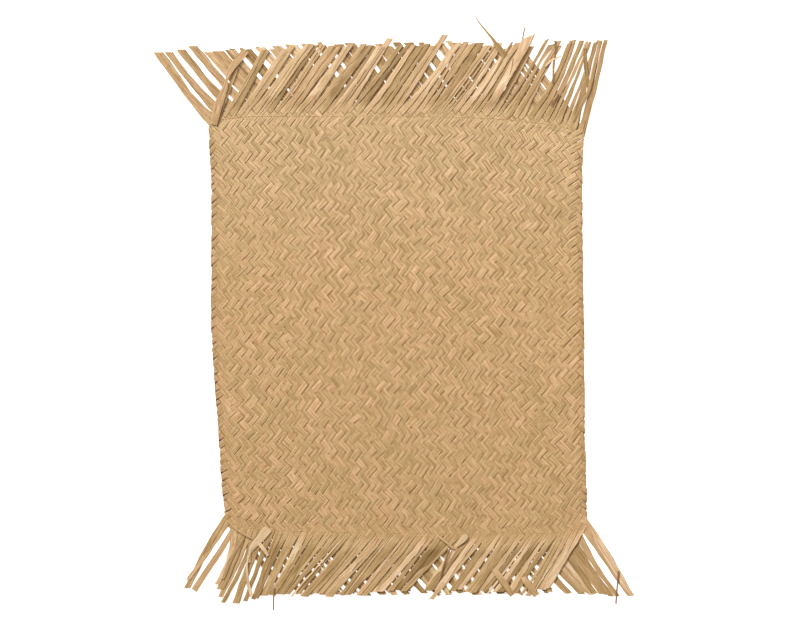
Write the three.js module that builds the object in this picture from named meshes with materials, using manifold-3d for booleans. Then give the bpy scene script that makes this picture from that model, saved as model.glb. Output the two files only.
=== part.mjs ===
// A placemat plaited from leaf strips, lying flat, with the strips' loose ends as a fringe at both ends.
// Millimetres. X runs across the mat, Y along it towards the top fringe, Z up from the table.

import * as THREE from "three";
import { mergeVertices } from "three/addons/utils/BufferGeometryUtils.js";
import Module from "manifold-3d";

const wasm = await Module();
wasm.setup();

// Driving dimensions
const MAT_LENGTH = 363; // plaited sheet, from fringe root to fringe root
const MAT_THICKNESS = 2; // two crossing strips and their crowns
const STRIPS_PER_END = 52; // strips of each lean that leave the sheet at one end
const FOLDS_PER_SIDE = 50; // strips folded back along one side
const FOLD_DEPTH = 0.9; // how far each folded strip stands out from the next notch
const STRAND_WIDTH = 4.9; // a usual loose strip
const WIDTH_SPREAD = 1.6; // widest strip less the narrowest
const TIP_WIDTH_SHARE = 0.86; // a strip narrows a little towards its cut end
const STRAND_THICKNESS = 0.35;
const STRAND_LEVELS = 4; // neighbours and the two leans lie over each other
const BACKING_WIDTH = 7; // the last plaited row, which holds the strand roots
const ROOT_DEPTH = 4; // how far a strand runs into that row
const PIECE_GAP = 0.3; // parting between the sheet and its last rows
const STRAND_SECTIONS = 2; // straight stretches along one strand

// How uneven the loose strips are
const LEAN_SPREAD = 4; // degrees
const REACH_SPREAD = 3.5;
const BOW_SPREAD = 2.4;
const TRIM_SLANT = 1.6; // how far a cut end is out of level
const LEAST_CLING = 0.6; // of a row's pairing, in its loosest pair
const LEAST_GAP = 0.5; // between strands on one level

// What is uneven from strip to strip, and the factors that scatter it. Other factors give another mat.
const KINDS = ["none", "lean", "reach", "width", "bow", "trim", "pairing"];
const SCATTER = { seed: 12.9898, strip: 78.233, kind: 37.719, wave: 43758.5453 };

// The two side edges, from the top corner (down 0) to the bottom corner (down 1).
const SIDE_EDGES = [
  { down: 0, left: -164, right: 162 },
  { down: 0.08, left: -162.5, right: 160 },
  { down: 0.2, left: -161, right: 160 },
  { down: 0.52, left: -161, right: 161.5 },
  { down: 0.75, left: -156, right: 162 },
  { down: 0.9, left: -152.5, right: 163.5 },
  { down: 1, left: -149.5, right: 164.5 },
];

// The two ends, from the left corner (across 0) to the right corner (across 1).
const END_EDGES = [
  { across: 0, top: 176, bottom: -169 },
  { across: 0.05, top: 178.5, bottom: -176 },
  { across: 0.12, top: 180.5, bottom: -179 },
  { across: 0.3, top: 181, bottom: -181 },
  { across: 0.5, top: 181, bottom: -182 },
  { across: 0.7, top: 179.5, bottom: -182.5 },
  { across: 0.85, top: 176, bottom: -182 },
  { across: 0.95, top: 171, bottom: -180 },
  { across: 1, top: 163.5, bottom: -174.5 },
];

// Each row of loose strips: its lean in degrees from the mat's end and its reach past that end.
// Front strips lie over the back ones and rise to the right, back strips rise to the left.
const TOP_FRONT = [
  { across: 0, lean: 66, reach: 59 },
  { across: 0.04, lean: 59, reach: 56 },
  { across: 0.1, lean: 53, reach: 57 },
  { across: 0.4, lean: 54, reach: 59 },
  { across: 0.7, lean: 55, reach: 61 },
  { across: 0.82, lean: 60, reach: 65 },
  { across: 0.93, lean: 61, reach: 70 },
  { across: 0.96, lean: 66, reach: 72 },
  { across: 0.98, lean: 72, reach: 76 },
  { across: 1, lean: 77, reach: 80 },
];
const TOP_BACK = [
  { across: 0, lean: 52, reach: 57 },
  { across: 0.05, lean: 48, reach: 56 },
  { across: 0.12, lean: 47, reach: 57 },
  { across: 0.2, lean: 48.5, reach: 55 },
  { across: 0.4, lean: 52, reach: 58 },
  { across: 0.65, lean: 53, reach: 60 },
  { across: 1, lean: 51, reach: 66 },
];
const BOTTOM_FRONT = [
  { across: 0, lean: 61, reach: 60 },
  { across: 0.04, lean: 56, reach: 56 },
  { across: 0.06, lean: 64, reach: 50 },
  { across: 0.1, lean: 62, reach: 61 },
  { across: 0.12, lean: 67, reach: 62 },
  { across: 0.15, lean: 66, reach: 59 },
  { across: 0.2, lean: 61, reach: 55 },
  { across: 0.3, lean: 49, reach: 53 },
  { across: 0.5, lean: 49, reach: 53 },
  { across: 0.65, lean: 50, reach: 48 },
  { across: 0.8, lean: 52, reach: 49 },
  { across: 1, lean: 57, reach: 55 },
];
const BOTTOM_BACK = [
  { across: 0, lean: 50, reach: 56 },
  { across: 0.3, lean: 49, reach: 53 },
  { across: 0.65, lean: 51, reach: 51 },
  { across: 0.83, lean: 47, reach: 52 },
  { across: 0.91, lean: 52.5, reach: 54 },
  { across: 0.96, lean: 56.5, reach: 57 },
  { across: 1, lean: 56, reach: 61 },
];

// The four rows of loose strips. Pairing draws two neighbours together, from 0 to 1.
// The outer strip, at the corner that its row leans past, keeps its place.
const STRAND_ROWS = [
  { end: "top", front: true, run: TOP_FRONT, pairing: 0.4, seed: 11, outer: "right" },
  { end: "top", front: false, run: TOP_BACK, pairing: 0.95, seed: 23, outer: "left" },
  { end: "bottom", front: true, run: BOTTOM_FRONT, pairing: 0.4, seed: 37, outer: "left" },
  { end: "bottom", front: false, run: BOTTOM_BACK, pairing: 0.95, seed: 53, outer: "right" },
];

// Strips that stand out from their row: longer, wider, or a thin splinter.
const ODD_STRIPS = [
  { seed: 11, strip: 18, lean: 56, reach: 64, width: 5.2, bow: 0 },
  { seed: 11, strip: 25, lean: 56, reach: 67, width: 5.6, bow: 1 },
  { seed: 11, strip: 37, lean: 57, reach: 71, width: 6.2, bow: 0 },
  { seed: 11, strip: 51, lean: 77.5, reach: 80, width: 4, bow: 0 },
  { seed: 23, strip: 47, lean: 52.6, reach: 92, width: 1.4, bow: -1 },
  { seed: 37, strip: 0, lean: 62.5, reach: 60, width: 4.2, bow: 0 },
  { seed: 37, strip: 5, lean: 62, reach: 64, width: 3.2, bow: 2 },
  { seed: 37, strip: 37, lean: 49, reach: 56, width: 4, bow: 0 },
  { seed: 53, strip: 51, lean: 56.5, reach: 61, width: 6, bow: 2.5 },
];

const LEAF = new THREE.MeshStandardMaterial({ color: 0xcfae7b, roughness: 0.72, metalness: 0 });
const LOOSE_LEAF = new THREE.MeshStandardMaterial({ color: 0xc7a470, roughness: 0.7, metalness: 0 });

// A column of a table at any station, on a smooth curve through the table's rows.
function along(table, station, column, at) {
  const last = table.length - 1;
  let row = 0;
  while (row < last - 1 && at > table[row + 1][station]) {
    row += 1;
  }
  const slope = (n) => {
    const before = table[Math.max(n - 1, 0)];
    const after = table[Math.min(n + 1, last)];
    return (after[column] - before[column]) / (after[station] - before[station]);
  };
  const span = table[row + 1][station] - table[row][station];
  const t = (at - table[row][station]) / span;
  const rise = table[row + 1][column] - table[row][column];
  const ease = t * t * (3 - 2 * t);
  const leave = t * (1 - t) * (1 - t) * span * slope(row);
  const arrive = t * t * (t - 1) * span * slope(row + 1);
  return table[row][column] + rise * ease + leave + arrive;
}

// A repeatable number from 0 to 1 for one strand and one kind of unevenness.
function uneven(seed, strip, kind) {
  const angle = seed * SCATTER.seed + strip * SCATTER.strip + KINDS.indexOf(kind) * SCATTER.kind;
  const wave = Math.sin(angle) * SCATTER.wave;
  return wave - Math.floor(wave);
}

// The same number, spread evenly about zero.
function offset(seed, strip, kind, spread) {
  return (uneven(seed, strip, kind) - 0.5) * spread;
}

// A point of the plaited sheet, from its share across and its share down the mat.
function sheetPoint(across, down) {
  const left = along(SIDE_EDGES, "down", "left", down);
  const right = along(SIDE_EDGES, "down", "right", down);
  const top = along(END_EDGES, "across", "top", across);
  const bottom = along(END_EDGES, "across", "bottom", across);
  return new THREE.Vector2(left + (right - left) * across, top + (bottom - top) * down);
}

// The outline of the sheet between two shares of its length, with a notch between folded strips.
function sheetOutline(downFrom, downTo) {
  const points = [];
  const folds = Math.max(1, Math.round((downTo - downFrom) * FOLDS_PER_SIDE));
  const downAt = (n) => downFrom + ((downTo - downFrom) * n) / (2 * folds);
  for (const row of END_EDGES) {
    points.push(sheetPoint(row.across, downFrom));
  }
  for (let n = 1; n < 2 * folds; n += 1) {
    const notch = n % 2 === 0 ? FOLD_DEPTH : 0;
    points.push(sheetPoint(1, downAt(n)).sub(new THREE.Vector2(notch, 0)));
  }
  for (const row of END_EDGES.toReversed()) {
    points.push(sheetPoint(row.across, downTo));
  }
  for (let n = 2 * folds - 1; n > 0; n -= 1) {
    const notch = n % 2 === 0 ? FOLD_DEPTH : 0;
    points.push(sheetPoint(0, downAt(n)).add(new THREE.Vector2(notch, 0)));
  }
  return points;
}

// A flat slab with the given outline, from a height upwards.
function slab(points, height, thickness) {
  const shape = new THREE.Shape(points);
  const geometry = new THREE.ExtrudeGeometry(shape, { depth: thickness, bevelEnabled: false });
  return geometry.translate(0, 0, height);
}

// Root, tip and widths of every strand in one row of loose strips.
function strandsOf(row) {
  const up = row.end === "top" ? 1 : -1;
  const rightwards = row.front ? up : -up;
  const down = row.end === "top" ? 0 : 1;
  const corners = [sheetPoint(0, down), sheetPoint(1, down)];
  const strands = [];
  for (let strip = 0; strip < STRIPS_PER_END; strip += 1) {
    const across = strip / (STRIPS_PER_END - 1);
    const odd = ODD_STRIPS.find((entry) => entry.seed === row.seed && entry.strip === strip);
    const root = sheetPoint(across, down);
    const usualLean = along(row.run, "across", "lean", across);
    const lean = odd ? odd.lean : usualLean + offset(row.seed, strip, "lean", LEAN_SPREAD);
    const usualReach = along(row.run, "across", "reach", across);
    const reach = odd ? odd.reach : usualReach + offset(row.seed, strip, "reach", REACH_SPREAD);
    const slant = rightwards / Math.tan(THREE.MathUtils.degToRad(lean));
    strands.push({
      root,
      tip: new THREE.Vector2(root.x + reach * slant, root.y + up * reach),
      width: odd ? odd.width : STRAND_WIDTH + offset(row.seed, strip, "width", WIDTH_SPREAD),
      bow: odd ? odd.bow : offset(row.seed, strip, "bow", BOW_SPREAD),
      trim: offset(row.seed, strip, "trim", TRIM_SLANT),
      level: (row.front ? 2 : 0) + (strip % 2),
      corners,
      end: row.end,
      odd: Boolean(odd),
    });
  }
  drawPairs(strands, row);
  keepApart(row.outer === "left" ? strands : strands.toReversed());
  return strands;
}

// Two neighbours lean towards each other, as loose strips cling in pairs. An odd strip stays by itself.
function drawPairs(strands, row) {
  for (let strip = 0; strip + 1 < STRIPS_PER_END; strip += 2) {
    const [one, other] = [strands[strip], strands[strip + 1]];
    const cling = LEAST_CLING + (1 - LEAST_CLING) * uneven(row.seed, strip, "pairing");
    const pull = one.odd || other.odd ? 0 : (row.pairing * cling) / 2;
    const apart = other.tip.x - one.tip.x;
    one.tip.x += pull * apart;
    other.tip.x -= pull * apart;
  }
}

// Tips on one level stay apart. Going inwards, each stays clear of the one before it on its level.
// An odd strip keeps its own place.
function keepApart(strands) {
  const inwards = Math.sign(strands.at(-1).root.x - strands[0].root.x);
  for (let n = 2; n < strands.length; n += 1) {
    const [before, strand] = [strands[n - 2], strands[n]];
    const clear = (acrossWidth(before) + acrossWidth(strand)) / 2 + LEAST_GAP;
    const passed = (strand.tip.x - before.tip.x) * inwards;
    const kept = strand.odd ? 0 : Math.max(0, clear - passed);
    strand.tip.x += kept * inwards;
  }
}

// A slanted strand's width, measured along the mat's end.
function acrossWidth(strand) {
  const run = strand.tip.clone().sub(strand.root);
  return (strand.width * run.length()) / Math.abs(run.y);
}

// Where a strand's root ends inside the last plaited row, straight below or above x on the mat's end.
function rootPoint(x, strand) {
  const [left, right] = strand.corners;
  const depth = ROOT_DEPTH / MAT_LENGTH;
  const across = (x - left.x) / (right.x - left.x);
  return new THREE.Vector2(x, sheetPoint(across, strand.end === "top" ? depth : 1 - depth).y);
}

// One loose strip: a flat four-sided prism from inside the last plaited row to its trimmed end.
function strandSlab(strand) {
  const run = strand.tip.clone().sub(strand.root);
  const half = acrossWidth(strand) / 2;
  const margin = half + FOLD_DEPTH;
  const [left, right] = strand.corners;
  const rootX = strand.root.x - (ROOT_DEPTH * run.x) / Math.abs(run.y);
  const heldX = THREE.MathUtils.clamp(rootX, left.x + margin, right.x - margin);
  const lefts = [rootPoint(heldX - half, strand)];
  const rights = [rootPoint(heldX + half, strand)];
  for (let n = 1; n <= STRAND_SECTIONS; n += 1) {
    const share = n / STRAND_SECTIONS;
    const middle = strand.root.clone().addScaledVector(run, share);
    const narrow = 1 - (1 - TIP_WIDTH_SHARE) * share;
    const slant = n === STRAND_SECTIONS ? strand.trim / 2 : 0;
    middle.x += strand.bow * 4 * share * (1 - share);
    lefts.push(new THREE.Vector2(middle.x - half * narrow, middle.y + slant));
    rights.push(new THREE.Vector2(middle.x + half * narrow, middle.y - slant));
  }
  const rise = (MAT_THICKNESS - STRAND_THICKNESS) / (STRAND_LEVELS - 1);
  return slab([...lefts, ...rights.reverse()], strand.level * rise, STRAND_THICKNESS);
}

// A closed geometry as a solid that can be joined to others.
function solidFrom(geometry) {
  const bare = geometry.clone();
  bare.deleteAttribute("normal");
  bare.deleteAttribute("uv");
  const merged = mergeVertices(bare);
  const vertProperties = merged.attributes.position.array;
  const triVerts = new Uint32Array(merged.index.array);
  return new wasm.Manifold(new wasm.Mesh({ numProp: 3, vertProperties, triVerts }));
}

// A joined solid back as a geometry.
function geometryFrom(solid) {
  const { vertProperties, triVerts } = solid.getMesh();
  const geometry = new THREE.BufferGeometry();
  geometry.setAttribute("position", new THREE.BufferAttribute(vertProperties, 3));
  geometry.setIndex(new THREE.BufferAttribute(triVerts, 1));
  geometry.computeVertexNormals();
  return geometry;
}

function namedMesh(name, geometry, material) {
  const mesh = new THREE.Mesh(geometry, material);
  mesh.name = name;
  return mesh;
}

// The plaited sheet, less its first and last rows.
function plaitedSheet() {
  const start = (BACKING_WIDTH + PIECE_GAP) / MAT_LENGTH;
  return namedMesh("plaited_sheet", slab(sheetOutline(start, 1 - start), 0, MAT_THICKNESS), LEAF);
}

// One end's last plaited row with both layers of loose strips fused into it.
function fringe(end) {
  const depth = BACKING_WIDTH / MAT_LENGTH;
  const outline = end === "top" ? sheetOutline(0, depth) : sheetOutline(1 - depth, 1);
  let solid = solidFrom(slab(outline, 0, MAT_THICKNESS));
  for (const row of STRAND_ROWS.filter((entry) => entry.end === end)) {
    for (const strand of strandsOf(row)) {
      solid = solid.add(solidFrom(strandSlab(strand)));
    }
  }
  return namedMesh("fringe_" + end, geometryFrom(solid), LOOSE_LEAF);
}

const placemat = new THREE.Group();
placemat.add(plaitedSheet(), fringe("top"), fringe("bottom"));

// The origin is on the table, under the middle of the whole mat.
const middle = new THREE.Box3().setFromObject(placemat).getCenter(new THREE.Vector3());
placemat.position.set(-middle.x, -middle.y, 0);

export default placemat;
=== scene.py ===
# %% [markdown]
# # A plaited leaf placemat
# The mat is plaited on the diagonal from about two hundred flat leaf strips, and the strips' ends are left
# loose as a fringe. The packed model gives its place and size: one flat solid for the plaited sheet and one
# for each fringe. This lesson dresses those three solids with real strips that pass over and under each
# other.

# %% The frame
import math

import bpy
import numpy as np
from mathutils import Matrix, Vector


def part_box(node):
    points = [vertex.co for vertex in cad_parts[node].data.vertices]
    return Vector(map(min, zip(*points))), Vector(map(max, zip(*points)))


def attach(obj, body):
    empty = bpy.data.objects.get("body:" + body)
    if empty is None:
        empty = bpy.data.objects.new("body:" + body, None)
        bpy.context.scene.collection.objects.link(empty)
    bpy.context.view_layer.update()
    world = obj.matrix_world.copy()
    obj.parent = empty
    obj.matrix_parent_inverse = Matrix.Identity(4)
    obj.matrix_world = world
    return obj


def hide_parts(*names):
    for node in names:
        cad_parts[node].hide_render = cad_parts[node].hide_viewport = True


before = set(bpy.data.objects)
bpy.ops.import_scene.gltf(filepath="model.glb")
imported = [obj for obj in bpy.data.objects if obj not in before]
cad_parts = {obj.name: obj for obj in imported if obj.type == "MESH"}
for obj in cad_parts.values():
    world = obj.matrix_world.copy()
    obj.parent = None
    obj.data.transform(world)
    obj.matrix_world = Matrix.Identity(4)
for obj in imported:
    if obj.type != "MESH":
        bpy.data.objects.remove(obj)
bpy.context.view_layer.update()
MM = 0.001

# %% [markdown]
# ## The mat's uneven outline
# A hand-plaited mat is never a true rectangle. Its sides lean in towards the bottom left and its corners
# droop where the last strips are pulled into the fringe. The solids were drawn from two short tables, and the
# same tables are used here, in millimetres about the middle of the plait, so that every strip ends where its
# solid does. A smooth curve goes through each table's rows.

# %% Tables of the outline
MAT_LENGTH = 363
FOLDS_PER_SIDE = 50
BACKING_WIDTH = 7
PIECE_GAP = 0.3
SIDE_EDGES = {
    "down": (0, 0.08, 0.2, 0.52, 0.75, 0.9, 1),
    "left": (-164, -162.5, -161, -161, -156, -152.5, -149.5),
    "right": (162, 160, 160, 161.5, 162, 163.5, 164.5),
}
END_EDGES = {
    "across": (0, 0.05, 0.12, 0.3, 0.5, 0.7, 0.85, 0.95, 1),
    "top": (176, 178.5, 180.5, 181, 181, 179.5, 176, 171, 163.5),
    "bottom": (-169, -176, -179, -181, -182, -182.5, -182, -180, -174.5),
}
print("mat", MAT_LENGTH, "mm long, with", FOLDS_PER_SIDE, "folds down each side")


# %% A smooth curve through a table
def eased(share):
    """A share from 0 to 1 with an easy start and end."""
    return share * share * (3 - 2 * share)


def along(table, station, column, at):
    """A column of a table at any station, on a smooth curve through its rows."""
    stations = np.array(table[station], float)
    values = np.array(table[column], float)
    number = np.arange(len(stations))
    before = np.maximum(number - 1, 0)
    after = np.minimum(number + 1, len(stations) - 1)
    slopes = (values[after] - values[before]) / (stations[after] - stations[before])
    at = np.asarray(at, float)
    row = np.clip(np.searchsorted(stations, at) - 1, 0, len(stations) - 2)
    span = stations[row + 1] - stations[row]
    t = (at - stations[row]) / span
    leave = t * (1 - t) * (1 - t) * span * slopes[row]
    arrive = t * t * (t - 1) * span * slopes[row + 1]
    return values[row] + (values[row + 1] - values[row]) * eased(t) + leave + arrive


print("left side, halfway down:", round(float(along(SIDE_EDGES, "down", "left", 0.5)), 1), "mm")


# %% Points of the sheet
def sheet_point(across, down):
    """A point of the sheet, from its share across and its share down the mat."""
    left = along(SIDE_EDGES, "down", "left", down)
    right = along(SIDE_EDGES, "down", "right", down)
    top = along(END_EDGES, "across", "top", across)
    bottom = along(END_EDGES, "across", "bottom", across)
    return left + (right - left) * across, top + (bottom - top) * down


print("middle of the sheet:", *np.round(sheet_point(0.5, 0.5), 1), "mm")

# %% Where the middle of the plait lies in the frame
SHEET_START = (BACKING_WIDTH + PIECE_GAP) / MAT_LENGTH
folds = round((1 - 2 * SHEET_START) * FOLDS_PER_SIDE)
fold_middles = SHEET_START + (1 - 2 * SHEET_START) * np.arange(1, 2 * folds, 2) / (2 * folds)
high_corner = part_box("plaited_sheet")[1]
outermost = max(sheet_point(1, np.append(fold_middles, [SHEET_START, 1 - SHEET_START]))[0])
uppermost = max(sheet_point(np.array(END_EDGES["across"]), SHEET_START)[1])
SHIFT_X = high_corner[0] / MM - outermost
SHIFT_Y = high_corner[1] / MM - uppermost
print("plait's middle is at", round(SHIFT_X, 3), round(SHIFT_Y, 3), "mm in the frame")

# %% [markdown]
# ## The plait as a lattice
# Strips that rise to the right cross strips that fall to the right. Counting half strips across and half rows
# up gives every crossing a column and a row. In the middle of the mat each strip goes over two and under two,
# and the change from over to under runs in level rows. Along each side upright columns change instead, which
# is how a plaiter turns the strips round at a selvedge without leaving any of them loose for long.

# %% Unevenness that repeats
SCATTER = {"seed": 12.9898, "strip": 78.233, "kind": 37.719, "wave": 43758.5453}
KINDS = "none lean reach width bow trim pairing tone roll cup sway curl split".split()


def uneven(seed, strip, kind):
    """A repeatable number from 0 to 1 for one strip and one kind of unevenness."""
    angle = seed * SCATTER["seed"] + strip * SCATTER["strip"] + KINDS.index(kind) * SCATTER["kind"]
    wave = np.sin(angle) * SCATTER["wave"]
    return wave - np.floor(wave)


def offset(seed, strip, kind, spread):
    """The same number, spread evenly about zero."""
    return (uneven(seed, strip, kind) - 0.5) * spread


print("kinds of unevenness:", len(KINDS))

# %% Columns and rows
COLUMNS = 102
TOP_ROW = 100.45
BOTTOM_ROW = -0.55
STEADY_SIDES = 16
STEADY_ENDS = 600
WANDER_X = [(1, 0.23, 0.17, 0), (0.7, -0.33, 0.41, 2)]
WANDER_Y = [(1, 0.19, -0.27, 1), (0.7, 0.37, 0.29, 0)]


def wander(waves, column, row):
    """How far a crossing strays, from waves with a size, turns for each column and row, and a start."""
    return sum(size * np.sin(turn * column + climb * row + begin) for size, turn, climb, begin in waves)


def mat_point(column, row):
    """Where a column and row of the plait lie, in millimetres, straying a little inside."""
    across = column / COLUMNS
    x, y = sheet_point(across, (TOP_ROW - row) / (TOP_ROW - BOTTOM_ROW))
    inside = np.clip(STEADY_SIDES * across * (1 - across), 0, 1)
    inside = inside * np.clip((row - BOTTOM_ROW) * (TOP_ROW - row) / STEADY_ENDS, 0, 1)
    return x + inside * wander(WANDER_X, column, row), y + inside * wander(WANDER_Y, column, row)


print("one column is", round(float(mat_point(51, 50)[0] - mat_point(50, 50)[0]), 2), "mm across")

# %% The rule of over and under
BORDER = 4


def rising_over(rising, falling):
    """True where a strip that rises to the right lies over one that falls."""
    column = rising + falling
    row = falling - rising
    from_side = np.minimum(column, COLUMNS - column)
    right = column > COLUMNS / 2
    shortened = (from_side == 2) & (row % 4 == np.where(right, 1, 3))
    in_column = (from_side < 2) ^ shortened ^ right
    in_row = row % 4 >= 2
    loose = (row > TOP_ROW) | (row < BOTTOM_ROW)
    return np.where(loose, True, np.where(from_side < BORDER, in_column, in_row))


print("rising strips on top at", int(rising_over(*np.mgrid[0:20, 30:50]).sum()), "of 400 crossings")

# %% [markdown]
# ## Ribbons
# Each strip is a thin closed ribbon, flat on top with bevelled edges. A strip in the plait has six points
# round its section. A loose one has nine, so that it can cup. One ribbon could be bent along a curve and
# copied, but no two strips here have the same length or the same crossings, so the sections are worked out in
# arrays and joined into one mesh for each lean. Every point keeps six numbers for the finish: how far along
# the strip it is, how far across, the strip's own number, how loose the strip lies there, how much painted
# shade it gets, where it has just come up from under another, near a loose strip's root or at the fold, and
# whether it is folded.

# %% Sections of a ribbon
FLAT = {
    "across": np.array([-1, -0.86, 0.86, 1, 0.6, -0.6]),
    "lift": np.array([0.1, 1, 1, 0.1, -1, -1]),
}
SUPPLE = {
    "across": np.array([-1, -0.86, -0.4, 0, 0.4, 0.86, 1, 0.6, -0.6]),
    "lift": np.array([0.1, 1, 1, 1, 1, 1, 0.1, -1, -1]),
}
print("points round a strip:", len(FLAT["across"]), "in the plait,", len(SUPPLE["across"]), "loose")


# %% Gathering ribbons
class Ribbons:
    """Gathers ribbons, each an array of sections by points of x, y, z in millimetres."""

    def __init__(self, section):
        self.section = section
        self.around = len(section["across"])
        self.points, self.marks, self.lies, self.faces = [], [], [], []

    def three_marks(self, sections, *marks):
        """Three numbers for every point of a ribbon."""
        spread = [np.broadcast_to(mark, (sections, self.around)) for mark in marks]
        return np.stack(spread, -1).reshape(-1, 3)

    def add(self, points, run, seed, loose=0.0, dive=0.0, fold=0.0):
        """One ribbon. Run is the distance along it in millimetres. Loose is 1 out of the plait, the next number
        is how much painted shade the strip gets, most where it comes up from under another, and fold is 1 at
        the selvedge."""
        sections = len(points)
        first = sum(len(block) for block in self.points)
        ring = np.arange(self.around)
        rows = first + np.arange(sections - 1)[:, None] * self.around
        here, beside = rows + ring, rows + (ring + 1) % self.around
        quads = np.stack([here, beside, beside + self.around, here + self.around], -1)
        self.points.append(points.reshape(-1, 3))
        self.marks.append(self.three_marks(sections, run, self.section["across"], seed))
        self.lies.append(self.three_marks(sections, loose, dive, fold))
        self.faces.append((quads, first, sections, run.mean(1)))


print("points in ten sections:", 10 * Ribbons(FLAT).around)

# %% [markdown]
# ## Ribbons as meshes
# A second set of coordinates lays the strips side by side, so that each can be baked in a place of its own.
# The top of a strip gets most of that place, and its cut ends lie just beyond it. Smoothing stops at the
# bevels, because a leaf's edge is sharp.

# %% Places in the bake
TOP_SHARE = 0.8
BAKE_MARGIN = 0.04
CAP_PLACE = 0.016
CAP_LENGTH = 0.009
CAP_WIDTH = 0.3


def bake_bands(section):
    """Where each face round a section starts and ends in its strip's share of the bake."""
    steps = np.abs(np.diff(np.append(section["across"], section["across"][0])))
    on_top = np.arange(len(steps)) < len(steps) - 3
    steps[on_top] *= TOP_SHARE / steps[on_top].sum()
    steps[~on_top] *= (1 - TOP_SHARE) / steps[~on_top].sum()
    ends = BAKE_MARGIN + (1 - 2 * BAKE_MARGIN) * np.cumsum(steps)
    return np.concatenate([[BAKE_MARGIN], ends])


def cap_places(share, end, angle):
    """Where the corners of a cut end lie: along the bake, and across its strip's share of it."""
    beyond = CAP_PLACE if share[end] > share.mean() else -CAP_PLACE
    return share[end] + beyond + CAP_LENGTH * np.cos(angle), 0.5 + CAP_WIDTH * np.sin(angle)


def faces_and_places(ribbons):
    """The corners of every face of the ribbons, and where they lie in the bake."""
    bands = bake_bands(ribbons.section)
    around, count = ribbons.around, len(ribbons.faces)
    longest = max(np.ptp(run) for quads, first, sections, run in ribbons.faces)
    polygons, places = [], []
    for number, (quads, first, sections, run) in enumerate(ribbons.faces):
        share = (run - run.min()) / longest * (1 - 2 * BAKE_MARGIN) + BAKE_MARGIN
        left = np.repeat(share[:-1, None], around, 1)
        right = np.repeat(share[1:, None], around, 1)
        low = np.repeat((number + bands[None, :-1]) / count, sections - 1, 0)
        high = np.repeat((number + bands[None, 1:]) / count, sections - 1, 0)
        corners = [(left, low), (left, high), (right, high), (right, low)]
        uv = np.stack([np.stack(corner, -1) for corner in corners], 2)
        polygons += quads.reshape(-1, 4).tolist()
        places.append(uv.reshape(-1, 2))
        for end, turn in ((0, -1), (sections - 1, 1)):
            ring = np.arange(around)[::turn]
            polygons.append((first + end * around + ring).tolist())
            lengthwise, crosswise = cap_places(share, end, ring * math.tau / around)
            places.append(np.stack([lengthwise, (number + crosswise) / count], -1))
    return polygons, np.concatenate(places)


print("bake bands", np.round(bake_bands(FLAT), 2))

# %% Points and faces joined into objects
MERGE = 1e-7
SMOOTH_ANGLE = 40


def new_object(name, points, polygons):
    """An object from points in millimetres about the middle of the plait."""
    mesh = bpy.data.meshes.new(name)
    mesh.from_pydata(((points + np.array([SHIFT_X, SHIFT_Y, 0])) * MM).tolist(), [], polygons)
    piece = bpy.data.objects.new(name, mesh)
    bpy.context.scene.collection.objects.link(piece)
    return piece


def finish_mesh(piece):
    """Merges points that a cut end brought together, turns the faces outwards and smooths the crowns."""
    bpy.ops.object.select_all(action="DESELECT")
    piece.select_set(True)
    bpy.context.view_layer.objects.active = piece
    bpy.ops.object.mode_set(mode="EDIT")
    bpy.ops.mesh.select_all(action="SELECT")
    bpy.ops.mesh.remove_doubles(threshold=MERGE)
    bpy.ops.mesh.normals_make_consistent(inside=False)
    bpy.ops.object.mode_set(mode="OBJECT")
    bpy.ops.object.shade_smooth_by_angle(angle=math.radians(SMOOTH_ANGLE))


def ribbon_object(ribbons, name, material):
    """All the ribbons as one object, with their marks and their places in the bake."""
    polygons, places = faces_and_places(ribbons)
    piece = new_object(name, np.concatenate(ribbons.points), polygons)
    for title, marks in (("strip", ribbons.marks), ("lie", ribbons.lies)):
        attribute = piece.data.attributes.new(title, "FLOAT_VECTOR", "POINT")
        attribute.data.foreach_set("vector", np.concatenate(marks).ravel().astype(np.float32))
    bake = piece.data.uv_layers.new(name="OFBake")
    bake.uv.foreach_set("vector", places.ravel().astype(np.float32))
    finish_mesh(piece)
    piece.data.materials.append(material)
    return piece


def triangles(piece):
    """How many triangles a piece has."""
    return sum(len(polygon.vertices) - 2 for polygon in piece.data.polygons)


print("crowns are smooth up to", SMOOTH_ANGLE, "degrees")
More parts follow.
